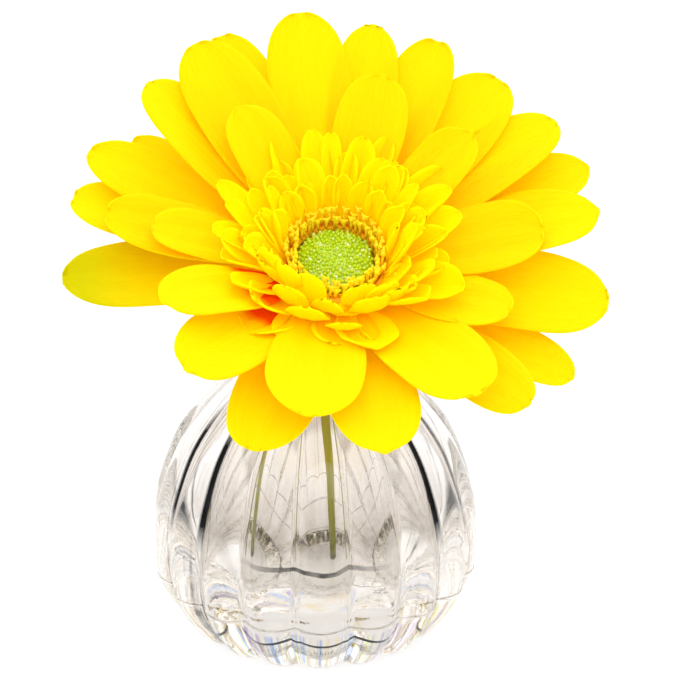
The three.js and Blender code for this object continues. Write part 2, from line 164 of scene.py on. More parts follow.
# ---- how a petal is shaped ----
ROOT_RADIUS = 9.6
ROOT_SHARE = 0.24
SHOULDER = 0.62
SWELL = 1.2
TIP_POWER = 2.8
TIP_SHARE = 0.14
CUPPED = 0.16
NOTCH_SHARE = 0.25  # half the notch's width, as a share of half the petal's

Petal = namedtuple("Petal", "azimuth length width lift bend root twist cup", defaults=(CUPPED,))

# azimuth runs from the head's right side round its far side
LONG_PETALS = [
    Petal(99, 53, 19, 26, -6, 0, 0),
    Petal(82, 52, 15, 26, -6, -1.5, 4),
    Petal(67, 52, 16, 22, -6, 0, -5),
    Petal(51, 52, 19, 19.3, -6, -1.2, 5),
    Petal(35, 53, 17, 17, -6, 0, -7),
    Petal(24, 54, 15, 13, -6, -1.5, 3),
    Petal(10, 51, 18, 16, -8, 0, -4),
    Petal(350, 52, 22, 7, -4, -1, 3),
    Petal(332, 50, 13, 4, -4, -2.4, 0),
    Petal(316, 49, 15, 10, -4, -1.6, 8),
    Petal(304, 46, 21, 20, -4, 0, -4),
    Petal(280, 50, 20, 17, -6, -1.5, -6),
    Petal(263, 47, 21, 25, -8, 0, 0),
    Petal(253, 51, 19, 15, -6, -1.6, 6),
    Petal(233, 47, 18, 25, -6, -0.6, -4),
    Petal(216, 42, 15, 33, -8, 0.6, 0),
    Petal(186, 51, 20, 5, -6, -1.6, 8),
    Petal(173, 43, 15, 14, -6, 0.2, -4),
    Petal(166, 52, 16, 8, -6, -1, 3),
    Petal(156, 52, 15, 11, -6, 0.2, -4),
    Petal(145, 48, 13, 8, -6, -2.2, 0),
    Petal(139, 51, 16, 23, -6, 0, 4),
    Petal(125, 52, 19, 26, -6, 0.2, -4),
    Petal(116, 55, 16, 20, -6, -1.8, 3),
]
MIDDLE_PETALS = [
    Petal(4, 38, 18, 20, -8, 1.2, 4),
    Petal(333, 34, 15, 18, -6, 1.0, -6),
    Petal(76, 37, 16, 36, -8, 1.2, 6),
    Petal(178, 33, 13, 20, -6, 1.4, 4),
    Petal(128, 33, 14, 38, -8, 1.4, -4),
    Petal(40, 34, 13, 34, -8, 1.4, 5),
]
GREENISH_PETAL = 16  # the long petal whose outer half is greener
RED_SHADED_PETALS = (13, 14, 15)  # the long petals with painted red shade near the foot of the short ones

# the short petals round the eye, on the far side and, with "near" in front, on the near side,
# where they run outward first and then stand up like the side of a bowl
Ring = namedtuple(
    "Ring", "count width length lift bend near_length near_lift near_bend root root_radius phase",
)
SHORT_RINGS = [
    Ring(22, 7.4, 22.0, 36, -6, 22.0, 8, 34, 0.6, 10.4, 4),
    Ring(22, 6.6, 19.0, 44, 2, 23.0, 8, 86, 1.2, 10.8, 12),
    Ring(23, 6.2, 16.5, 53, -4, 18.0, 26, 62, 2.0, 11.2, 0),
    Ring(24, 5.0, 12.0, 62, 6, 7.0, 14, 50, 2.4, 11.6, 7),
]
SIDE_RISE = 12  # what the lift of a short petal gains at the head's sides, in degrees

# ---- the studio, in metres ----
CAMERA_TARGET = Vector((0.0058, 0, 0.0696))
LAMP_TARGET = Vector((0, 0, 0.07))

# ------------------------------------------------------------------ sizes and colours


class GlassSettings(bpy.types.PropertyGroup):
    rib_depth: FloatProperty(
        name="Rib depth",
        description="Depth of the valleys between ribs, as a share of the radius",
        default=0.078, min=0, max=0.12,
    )
    rib_steps: IntProperty(
        name="Rib steps", description="Columns of faces across one rib", default=16, min=4, max=24,
    )
    knurl_depth: FloatProperty(
        name="Knurl depth",
        description="Depth of the notches in the ring under the base",
        default=0.0009, subtype="DISTANCE", unit="LENGTH",
    )
    tint: FloatVectorProperty(
        name="Tint", description="Colour of the glass", default=(0.90, 0.86, 0.82), subtype="COLOR",
    )


class WaterSettings(bpy.types.PropertyGroup):
    meniscus: FloatProperty(
        name="Meniscus",
        description="Height that the water climbs at the glass",
        default=0.0002, subtype="DISTANCE", unit="LENGTH",
    )
    tint: FloatVectorProperty(
        name="Tint", description="Colour of the water", default=(0.99, 1.0, 0.985), subtype="COLOR",
    )


class StemSettings(bpy.types.PropertyGroup):
    radius: FloatProperty(
        name="Radius",
        description="Radius of the stem",
        default=0.0016, subtype="DISTANCE", unit="LENGTH",
    )
    colour: FloatVectorProperty(
        name="Colour",
        description="Green of the stem and the cup",
        default=(0.56, 0.60, 0.05), subtype="COLOR",
    )
    bract_count: IntProperty(
        name="Bracts", description="Scales in each row under the petals", default=17, min=6, max=30,
    )


class PetalSettings(bpy.types.PropertyGroup):
    thickness: FloatProperty(
        name="Thickness",
        description="Thickness of a petal",
        default=0.0004, subtype="DISTANCE", unit="LENGTH",
    )
    # painted shade: the red deep between the petals, where they lie in shade
    root_shade_colour: FloatVectorProperty(
        name="Root",
        description="Colour deep between the petals",
        default=(0.95, 0.18, 0.0), subtype="COLOR",
    )
    middle_colour: FloatVectorProperty(
        name="Middle",
        description="Colour near the root",
        default=(0.98, 0.61, 0.0), subtype="COLOR",
    )
    blade_colour: FloatVectorProperty(
        name="Blade",
        description="Colour of the outer blade",
        default=(0.99, 0.67, 0.0), subtype="COLOR",
    )


class FringeSettings(bpy.types.PropertyGroup):
    floret_count: IntProperty(
        name="Florets", description="Florets in each of the two rings", default=42, min=12, max=80,
    )
    tip_colour: FloatVectorProperty(
        name="Tips",
        description="Colour of the florets' tips",
        default=(1.0, 0.80, 0.01), subtype="COLOR",
    )
    # painted shade: the orange low between the florets
    foot_shade_colour: FloatVectorProperty(
        name="Feet",
        description="Colour low between the florets",
        default=(0.93, 0.47, 0.0), subtype="COLOR",
    )


class EyeSettings(bpy.types.PropertyGroup):
    bud_count: IntProperty(
        name="Buds", description="Closed buds on the eye", default=250, min=50, max=600,
    )
    colour: FloatVectorProperty(
        name="Colour", description="Green of the buds", default=(0.45, 0.67, 0.0), subtype="COLOR",
    )


class StudioSettings(bpy.types.PropertyGroup):
    elevation: FloatProperty(
        name="Elevation",
        description="Camera's angle above the horizon",
        default=math.radians(23), subtype="ANGLE", unit="ROTATION",
    )
    distance: FloatProperty(
        name="Distance",
        description="From the camera to the point it looks at",
        default=0.65, subtype="DISTANCE", unit="LENGTH",
    )
    lens: FloatProperty(name="Lens", description="Focal length in millimetres", default=150.8)
    key_power: FloatProperty(
        name="Key", description="Power of the large top light", default=1.0, unit="POWER",
    )
    fill_power: FloatProperty(
        name="Fill", description="Power of the side lights", default=1.0, unit="POWER",
    )
    front_power: FloatProperty(
        name="Front", description="Power of the light over the camera", default=3.0, unit="POWER",
    )
    surround: FloatProperty(
        name="Surround", description="Brightness of the studio's walls", default=1.36, min=0, max=4,
    )


# ------------------------------------------------------------------ materials


class Value:
    """A socket that Python arithmetic works on; each operation adds one Math node."""

    def __init__(self, surface, socket):
        self.surface = surface
        self.socket = socket

    def math(self, operation, *operands):
        return self.surface.node("ShaderNodeMath", {"operation": operation}, dict(enumerate(operands)))

    def __add__(self, other):
        return self.math("ADD", self, other)

    def __radd__(self, other):
        return self.math("ADD", other, self)

    def __sub__(self, other):
        return self.math("SUBTRACT", self, other)

    def __rsub__(self, other):
        return self.math("SUBTRACT", other, self)

    def __mul__(self, other):
        return self.math("MULTIPLY", self, other)

    def __rmul__(self, other):
        return self.math("MULTIPLY", other, self)

    def __truediv__(self, other):
        return self.math("DIVIDE", self, other)

    def __rtruediv__(self, other):
        return self.math("DIVIDE", other, self)

    def __pow__(self, other):
        return self.math("POWER", self, other)

    def sine(self):
        return self.math("SINE", self)

    def size(self):
        return self.math("ABSOLUTE", self)

    def clamp(self):
        return self.math("MINIMUM", self.math("MAXIMUM", self, 0.0), 1.0)

    def over(self, edge, slope):
        """0 up to the edge, then rising by that slope to 1."""
        return ((self - edge) * slope).clamp()

    def under(self, edge, slope):
        """0 from the edge on, and below it rising by that slope to 1."""
        return ((edge - self) * slope).clamp()

    def line(self, middle, slope):
        """1 at the middle, falling by that slope to 0 on either side."""
        return 1.0 - ((self - middle).size() * slope).clamp()


class Surface:
    """One material, or the world, and the nodes in it."""

    def __init__(self, name, kept_in="materials"):
        self.material = getattr(bpy.data, kept_in).new(name)
        self.material.use_nodes = True
        self.tree = self.material.node_tree
        self.tree.nodes.clear()

    def node(self, kind, settings=None, sockets=None, out=0):
        made = self.tree.nodes.new(kind)
        for name, value in (settings or {}).items():
            if name == "stops":
                ramp = made.color_ramp
                while len(ramp.elements) < len(value):
                    ramp.elements.new(1.0)
                for element, (place, colour) in zip(ramp.elements, value):
                    element.position = place
                    element.color = (*colour, 1.0)
            else:
                setattr(made, name, value)
        for name, value in (sockets or {}).items():
            if isinstance(value, Value):
                self.tree.links.new(value.socket, made.inputs[name])
            elif isinstance(made.inputs[name].default_value, bpy.types.bpy_prop_array):
                wanted = len(made.inputs[name].default_value)
                made.inputs[name].default_value = (tuple(value) + (1.0,))[:wanted]
            else:
                made.inputs[name].default_value = value
        return Value(self, made.outputs[out]) if len(made.outputs) else None

    def mix(self, share, first, second, blend="MIX"):
        """Two colours mixed by a share from 0 to 1."""
        settings = {"data_type": "RGBA", "blend_type": blend}
        return self.node("ShaderNodeMix", settings, {0: share, 6: first, 7: second}, out=2)

    def noise(self, vector, scale, detail=3.0, roughness=0.5):
        sockets = {"Vector": vector, "Scale": scale, "Detail": detail, "Roughness": roughness}
        return self.node("ShaderNodeTexNoise", None, sockets)

    def place(self):
        """Position on the piece, in metres."""
        return self.node("ShaderNodeTexCoord", None, None, out="Object")

    def split(self, vector):
        """The three parts of a vector."""
        parts = self.node("ShaderNodeSeparateXYZ", None, {0: vector}).socket.node.outputs
        return [Value(self, part) for part in parts]

    def uv(self, layer):
        """The two directions of a UV map: across and along."""
        return self.split(self.node("ShaderNodeUVMap", {"uv_map": layer}))[:2]

    def attribute(self, name):
        return self.node("ShaderNodeAttribute", {"attribute_name": name}, None, out="Fac")

    def bump(self, height, strength, distance):
        sockets = {"Height": height, "Strength": strength, "Distance": distance}
        return self.node("ShaderNodeBump", None, sockets)

    def principled(self, sockets):
        return self.node("ShaderNodeBsdfPrincipled", None, sockets)

    def finish(self, shader, output="ShaderNodeOutputMaterial"):
        self.node(output, None, {"Surface": shader})
        return self.material


def make_glass(settings):
    glass = Surface("clear_pressed_glass")
    place = glass.place()
    across, depth, height = glass.split(place)
    radius = (across * across + depth * depth) ** 0.5 + 1e-6
    rightward = across / radius
    backward = depth / radius
    unrolled_place = glass.node("ShaderNodeCombineXYZ", None, {0: rightward, 1: backward, 2: height * 0.5})
    streak_noise = glass.noise(unrolled_place, 17.0, 1.0, 0.5)
    fine_streak_noise = glass.noise(unrolled_place, 41.0, 1.0, 0.5)
    patchy = glass.noise(place, 60.0, 3.0)
    grain = glass.noise(place, 700.0, 2.0)
    broken = glass.noise(place, 240.0, 3.0).over(0.42, 6.0)
    groove = glass.attribute("groove")
    flank = rightward.size().over(0.5, 4.0)
    # the thin dark lines are painted shade and dark reflections, mixed into the glass's colour
    shade_lines = painted_shade_lines(height, radius, backward, (streak_noise, fine_streak_noise, patchy, broken, groove, flank))
    cool = tuple(0.97 * c for c in settings.tint)
    body = glass.mix(patchy, settings.tint, cool)
    # a grainy band of painted shade on the ribs' faces between these heights
    shade_band = height.over(SHADE_BAND_SPAN[0] * MM, 400.0) * height.under(SHADE_BAND_SPAN[1] * MM, 60.0)
    shade_band = shade_band * groove.under(0.8, 3.0)
    dimmed = glass.mix(shade_band * (0.2 + grain * 0.7).clamp(), body, (0.24, 0.20, 0.155))
    # painted rainbow colours on the front of the foot, for the light that the glass splits there
    foot = height.under(FOOT_SPAN[1] * MM, 1200.0) * height.over(FOOT_SPAN[0] * MM, 1200.0)
    foot = foot * radius.over(FOOT_RADIUS * MM, 1500.0) * (backward * -4.0).clamp()
    stops = [
        (0.36, (1.0, 1.0, 1.0)),
        (0.39, (0.10, 0.28, 1.0)),
        (0.43, (0.6, 0.75, 1.0)),
        (0.45, (0.9, 0.85, 0.08)),
        (0.47, (1.0, 1.0, 1.0)),
        (0.56, (1.0, 1.0, 1.0)),
        (0.58, (1.0, 0.66, 0.12)),
        (0.60, (1.0, 1.0, 1.0)),
        (0.66, (0.22, 0.12, 0.6)),
        (0.69, (1.0, 1.0, 1.0)),
    ]
    bands = glass.noise(unrolled_place, 16.0, 2.0)
    spectrum = glass.node("ShaderNodeValToRGB", {"stops": stops}, {"Fac": bands})
    spectrum_painted = glass.mix(foot, dimmed, spectrum, "MULTIPLY")
    grainy = height.under(GRAINY_SPAN[1] * MM, 300.0) * height.over(GRAINY_SPAN[0] * MM, 600.0)
    waves = glass.noise(place, 90.0, 2.0)
    stipple = glass.noise(place, 1100.0, 2.0)
    relief = waves * 0.15 + streak_noise * 0.08 + stipple * grainy * 0.12
    clear = glass.principled({
        "Base Color": glass.mix(shade_lines, spectrum_painted, (0.006, 0.0055, 0.005)),
        "Roughness": patchy * 0.02,
        "IOR": 1.5,
        "Transmission Weight": 1.0,
        "Normal": glass.bump(relief, 0.2, 0.0008),
    })
    shade = glass.principled({
        "Base Color": glass.mix(broken, (0.001, 0.001, 0.0015), (0.008, 0.009, 0.014)),
        "Roughness": 0.3 + patchy * 0.1,
        "Specular IOR Level": 0.1,
    })
    # the deep shade that gathers in the valleys at the vase's sides
    dusk = height.over(SLIVER_SPAN[0] * MM, 150.0) * height.under(SLIVER_SPAN[1] * MM, 150.0)
    front = (backward * -6.0 - 1.0).clamp()
    sliver = groove.over(0.79, 12.0) * dusk * front * flank.over(0.6, 5.0)
    return glass.finish(glass.node("ShaderNodeMixShader", None, {0: sliver, 1: clear, 2: shade}))


def painted_shade_lines(height, radius, backward, patterns):
    """Thin dark lines of painted shade and dark reflections in the glass: streaks, valleys, under the
    mould's seam and a line round the front.
    """
    streak_noise, fine_streak_noise, patchy, broken, groove, flank = patterns
    near_valley = groove.over(0.3, 4.0)
    # painted dark streaks near the valleys at the sides, weaker on the far side
    streak_line = streak_noise.line(0.5, 20.0)
    fine_streak_line = fine_streak_noise.line(0.5, 18.0)
    streak_shade = streak_line * near_valley * (0.5 + broken * 0.5) * flank + fine_streak_line * near_valley * flank * 0.2
    far_side = (backward * 3.0).clamp()
    streak_shade = streak_shade * (1.0 - far_side * 0.7)
    # painted shade along the rib valleys
    valley = groove.over(0.9, 10.0)
    valley_shade = valley * valley * (0.2 + flank * 0.3 + broken * 0.2)
    # a painted shadow line under the mould's seam
    seam_shade = height.line(SEAM_HEIGHT * MM, 3500.0)
    wavering = (patchy - 0.5) * 0.004
    # the painted shade line, only on the front and near the outside
    shade_line = (height - SHADE_LINE_HEIGHT * MM + wavering).size().under(SHADE_LINE_HALF_WIDTH * MM, 4000.0)
    shade_line = shade_line * (backward * -10.0 - 8.7).clamp() * radius.over(WALL_RADIUS * MM, 1500.0)
    streak_valley_seam_shade = streak_shade + valley_shade + seam_shade * (0.4 + broken * 0.4)
    return (streak_valley_seam_shade + shade_line * (0.85 + broken * 0.15)).clamp()


def make_water(settings):
    water = Surface("still_water")
    place = water.place()
    ripple = water.noise(place, 60.0, 1.0)
    clear = tuple(0.985 * c for c in settings.tint)
    return water.finish(water.principled({
        "Base Color": water.mix(ripple, settings.tint, clear),
        "Roughness": ripple * 0.01,
        "IOR": 1.333,
        "Transmission Weight": 1.0,
        "Normal": water.bump(ripple, 0.1, 0.0005),
    }))


def make_stem(settings):
    stem = Surface("green_stem")
    place = stem.place()
    stretched = stem.node("ShaderNodeMapping", None, {"Vector": place, "Scale": (1.0, 1.0, 0.06)})
    streaks = stem.noise(stretched, 900.0, 4.0)
    blotches = stem.noise(place, 120.0, 3.0)
    dark = tuple(0.62 * c for c in settings.colour)
    light = (settings.colour[0] * 1.35, settings.colour[1] * 1.22, settings.colour[2] * 1.3)
    striped = stem.mix(streaks, dark, light)
    return stem.finish(stem.principled({
        "Base Color": stem.mix(blotches * 0.5, striped, settings.colour),
        "Roughness": 0.45 + streaks * 0.25,
        "Subsurface Weight": 0.1,
        "Subsurface Scale": 0.002,
        "Sheen Weight": 0.3,
        "Normal": stem.bump(streaks, 0.5, 0.0003),
    }))


def make_petal(settings, name, painted_light_gain, painted_glow):
    petal = Surface(name)
    # the green gain lightens the colours and the glow lights the petal from within, both painted light
    root, middle, blade = (
        (red, min(0.9, green * painted_light_gain), blue)
        for red, green, blue in (settings.root_shade_colour, settings.middle_colour, settings.blade_colour)
    )
    across, along = petal.uv("blade")
    place = petal.place()
    tint = petal.attribute("tint")
    green = petal.attribute("green")
    flush = petal.attribute("flush")
    stretched = {0: across * 26.0, 1: along * 1.4, 2: tint * 40.0}
    lengthwise = petal.node("ShaderNodeCombineXYZ", None, stretched)
    streaks = petal.noise(lengthwise, 1.0, 4.0, 0.6)
    wander = petal.noise(place, 160.0, 2.0)
    veins = ((across * 66.0 + wander * 3.0).sine() * 0.5 + 0.5) ** 3.0
    # the ramp paints shade toward the root: red at the root, then the deeper orange near it, then the
    # blade
    stops = [
        (0.0, root),
        (0.06, middle),
        (0.20, blade),
        (1.0, blade),
    ]
    base = petal.node("ShaderNodeValToRGB", {"stops": stops}, {"Fac": along + (tint - 0.5) * 0.08})
    warm = (1.0, 0.86, 1.0)
    streaked = petal.mix((streaks * 0.25 + veins * 0.08).clamp(), base, warm, "MULTIPLY")
    shade = petal.mix((tint - 0.35).clamp() * 0.35, streaked, warm, "MULTIPLY")
    leafy = petal.mix((green * (along - 0.25) * 1.5).clamp(), shade, (0.52, 0.50, 0.0))
    crease = ((0.44 - along + (wander - 0.5) * 0.1) * 12.0).clamp()  # the inner part, with a soft edge
    # painted red shade in the petals' inner part, on the listed long petals
    with_red_shade = petal.mix(flush * crease * 0.9, leafy, (0.85, 0.05, 0.0))
    return petal.finish(petal.principled({
        "Base Color": with_red_shade,
        "Roughness": 0.5 + streaks * 0.2,
        "Specular IOR Level": 0.03,
        "Subsurface Weight": 0.8,
        "Subsurface Radius": (1.0, 0.8, 0.05),
        "Subsurface Scale": 0.0012,
        # a painted glow in the petal's own colour
        "Emission Color": with_red_shade,
        "Emission Strength": painted_glow,
        "Normal": petal.bump(streaks * 0.6 + veins * 0.4, 0.35, 0.00025),
    }))


def make_core(settings):
    core = Surface("petal_core")
    place = core.place()
    grain = core.noise(place, 700.0, 4.0)
    return core.finish(core.principled({
        "Base Color": core.mix(grain, (0.95, 0.45, 0.0), settings.middle_colour),
        "Roughness": 0.6 + grain * 0.2,
        "Normal": core.bump(grain, 0.5, 0.0004),
    }))


def make_floret(settings):
    floret = Surface("golden_floret")
    place = floret.place()
    rise = floret.attribute("rise")
    grain = floret.noise(place, 1800.0, 3.0)
    # the ramp paints shade low on the florets, rising to the tips' colour
    stops = [(0.0, settings.foot_shade_colour), (0.3, (0.97, 0.60, 0.0)), (0.55, settings.tip_colour)]
    base = floret.node("ShaderNodeValToRGB", {"stops": stops}, {"Fac": rise})
    pollen = floret.mix((grain - 0.4).clamp() * 1.4, base, (1.0, 0.84, 0.06))
    return floret.finish(floret.principled({
        "Base Color": pollen,
        "Roughness": 0.6 + grain * 0.3,
        "Specular IOR Level": 0.1,
        "Subsurface Weight": 0.3,
        "Subsurface Radius": (1.0, 0.8, 0.05),
        "Subsurface Scale": 0.0005,
        "Normal": floret.bump(grain, 0.8, 0.0003),
    }))


def make_bud(settings):
    bud = Surface("green_bud")
    place = bud.place()
    tint = bud.attribute("tint")
    grain = bud.noise(place, 1500.0, 3.0)
    pale = (0.60, 0.78, 0.01)
    deep = tuple(0.75 * c for c in settings.colour)
    # painted glints: pale specks on the buds
    painted_glints = bud.noise(place, 900.0, 2.0).over(0.6, 9.0)
    base = bud.mix(painted_glints, bud.mix(tint, settings.colour, pale), (0.93, 1.0, 0.72))
    return bud.finish(bud.principled({
        "Base Color": bud.mix((grain - 0.35).clamp(), base, deep),
        "Roughness": 0.16 + grain * 0.2,
        "Coat Weight": 0.4 + grain * 0.4,
        "Coat Roughness": 0.03,
        "Specular IOR Level": 0.3,
        "Subsurface Weight": 0.15,
        "Subsurface Radius": (0.8, 1.0, 0.05),
        "Subsurface Scale": 0.0005,
        "Normal": bud.bump(grain, 0.4, 0.0002),
    }))


def make_backdrop():
    paper = Surface("pale_backdrop")
    grain = paper.noise(paper.place(), 40.0, 2.0)
    return paper.finish(paper.principled({
        "Base Color": paper.mix(grain, (0.29, 0.29, 0.29), (0.31, 0.31, 0.31)),
        "Roughness": 0.8 + grain * 0.1,
        "Specular IOR Level": 0.2,
        "Emission Color": (1.0, 1.0, 1.0),
        "Emission Strength": 0.8,
    }))


def make_walls(settings):
    walls = Surface("studio_walls", "worlds")
    direction = walls.node("ShaderNodeTexCoord", None, None, out="Generated")
    _, backward, upward = walls.split(direction)
    behind = {"Value": backward, "From Min": -0.55, "From Max": -0.15}
    overhead = {"Value": upward, "From Min": 0.45, "From Max": 0.7}
    bright = walls.node("ShaderNodeMath", {"operation": "MAXIMUM"}, {
        0: walls.node("ShaderNodeMapRange", None, behind),
        1: walls.node("ShaderNodeMapRange", None, overhead),
    })
    colour = walls.mix(bright, (0.3, 0.29, 0.275), (1.0, 1.0, 1.0))
    sockets = {"Color": colour, "Strength": settings.surround}
    lit = walls.node("ShaderNodeBackground", None, sockets)
    return walls.finish(lit, "ShaderNodeOutputWorld")


# ------------------------------------------------------------------ shaping helpers


def head_frame():
    """The flower head's own frame: right, far side and up, at its centre, in metres."""
    up = Vector((math.sin(HEAD_ROLL), -math.sin(HEAD_TILT), math.cos(HEAD_TILT))).normalized()
    right = Vector((1, 0, 0))
    right = (right - up * up.x).normalized()
    turn = Matrix((right, up.cross(right), up)).transposed().to_4x4()
    return Matrix.Translation(HEAD_CENTRE * MM) @ turn @ Matrix.Scale(MM, 4)


HEAD = head_frame()


def smooth_through(points, steps):
    """A smooth line through the points, with that many steps to each span."""
    points = [Vector(p) if len(p) == 3 else Vector((p[0], 0, p[1])) for p in points]
    directions = []
    for i, point in enumerate(points):
        before = points[max(0, i - 1)]
        after = points[min(len(points) - 1, i + 1)]
        directions.append((after - before).normalized())
    line = [points[0]]
    for i in range(len(points) - 1):
        reach = (points[i + 1] - points[i]).length / 3
        handle = points[i] + directions[i] * reach
        other = points[i + 1] - directions[i + 1] * reach
        line.extend(interpolate_bezier(points[i], handle, other, points[i + 1], steps + 1)[1:])
    return line


def turned(bm, line, columns):
    """A surface of revolution about Z from a line in the XZ plane."""
    verts = [bm.verts.new(point) for point in line]
    edges = [bm.edges.new(pair) for pair in zip(verts, verts[1:])]
    bmesh.ops.spin(
        bm, geom=verts + edges, cent=(0, 0, 0), axis=(0, 0, 1),
        angle=TURN, steps=columns, use_merge=True,
    )
    bmesh.ops.remove_doubles(bm, verts=bm.verts, dist=1e-5)


def settle(bm, weld=1e-6):
    """Merges doubles and turns every face outward."""
    bmesh.ops.remove_doubles(bm, verts=bm.verts, dist=weld)
    bmesh.ops.recalc_face_normals(bm, faces=bm.faces)


def to_piece(bm, name, material, slot, *nodes, smooth=True):
    """The finished mesh as an object that rides on the frame and stands for its nodes."""
    mesh = bpy.data.meshes.new(name)
    for face in bm.faces:
        face.smooth = smooth
    bm.to_mesh(mesh)
    bm.free()
    mesh.materials.append(material)
    piece = bpy.data.objects.new(name, mesh)
    bpy.context.scene.collection.objects.link(piece)
    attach(piece, "root")
    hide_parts(*nodes)
    return piece


def blade_width(along):
    """Share of a petal's full width at a share of its length."""
    rise = min(1.0, along / SHOULDER)
    body = ROOT_SHARE + (1 - ROOT_SHARE) * math.sin(rise * math.pi / 2) ** SWELL
    past = max(0.0, (along - SHOULDER) / (1 - SHOULDER))
    end = math.sqrt(max(0.0, 1 - past ** TIP_POWER))
    return body * max(TIP_SHARE, end)


Quirks = namedtuple("Quirks", "pleat wave phase notch skew sway")


def draw_quirks(dice, scale):
    """What sets one petal apart from the next, in millimetres; scale is 1 for a long petal."""
    return Quirks(
        pleat=0.17 * scale,
        wave=0.55 * scale * dice.uniform(0.5, 1.3),
        phase=dice.uniform(0, TURN),
        notch=0.9 * scale * dice.random() ** 2,
        skew=0.06 * dice.uniform(-1, 1),
        sway=0.55 * scale * dice.uniform(-1, 1),
    )


def blade_point(petal, along, across, root_radius, quirks):
    """A point of a petal's upper face in the head's frame, in millimetres."""
    start = math.radians(petal.lift)
    bend = math.radians(petal.bend)
    slope = start + bend * along
    reach = root_radius + petal.length * (math.sin(slope) - math.sin(start)) / bend
    rise = petal.root + petal.length * (math.cos(start) - math.cos(slope)) / bend
    azimuth = math.radians(petal.azimuth)
    outward = Vector((math.cos(azimuth), math.sin(azimuth), 0))
    sideways = Vector((-math.sin(azimuth), math.cos(azimuth), 0))
    normal = Vector((0, 0, math.cos(slope))) - outward * math.sin(slope)
    twist = math.radians(petal.twist * along)
    side = sideways * math.cos(twist) + normal * math.sin(twist)
    face = normal * math.cos(twist) - sideways * math.sin(twist)
    half = petal.width * blade_width(along) / 2
    fade = min(1.0, 5 * along) * (1 - along ** 6)
    lift = petal.cup * across * across * half + quirks.skew * across * half * along
    lift += quirks.pleat * math.cos(3 * math.pi * across) * fade
    lift += quirks.wave * abs(across) ** 3 * math.sin(TURN * 1.7 * along + quirks.phase) * along
    lift += quirks.sway * math.sin(TURN * 0.9 * along + quirks.phase) * along
    end = max(0.0, (along - 0.82) / 0.18) ** 2
    off_centre = across * blade_width(along) / NOTCH_SHARE
    pulled = end * (0.03 * petal.width * across ** 4 + quirks.notch * math.exp(-off_centre ** 2))
    forward = outward * math.cos(slope) + Vector((0, 0, math.sin(slope)))
    middle = outward * reach + Vector((0, 0, rise)) - forward * pulled
    return middle + side * across * half + face * lift


def add_blade(bm, petal, rows, columns, root_radius, dice, green=0.0, flush=0.0, scale=1.0):
    """One petal, from a grid whose points are moved onto the blade."""
    blade = bm.loops.layers.uv["blade"]
    tint = bm.faces.layers.float["tint"]
    greenness = bm.faces.layers.float["green"]
    redness = bm.faces.layers.float["flush"]
    made = bmesh.ops.create_grid(bm, x_segments=columns, y_segments=rows, size=0.5)["verts"]
    places = {vert: (-2 * vert.co.x, 1 - (0.5 - vert.co.y) ** 1.6) for vert in made}
    quirks = draw_quirks(dice, scale)
    shade = dice.random()
    for vert, (across, along) in places.items():
        vert.co = HEAD @ blade_point(petal, along, across, root_radius, quirks)
    for face in {face for vert in made for face in vert.link_faces}:
        face[tint] = shade
        face[greenness] = green
        face[redness] = flush
        for loop in face.loops:
            across, along = places[loop.vert]
            loop[blade].uv = (0.5 + across / 2, along)


def new_blades():
    bm = bmesh.new()
    bm.loops.layers.uv.new("blade")
    bm.faces.layers.float.new("tint")
    bm.faces.layers.float.new("green")
    bm.faces.layers.float.new("flush")
    return bm


def thicken(piece, thickness):
    solid = piece.modifiers.new("Thickness", "SOLIDIFY")
    solid.thickness = thickness
    solid.offset = -1


# ------------------------------------------------------------------ operators


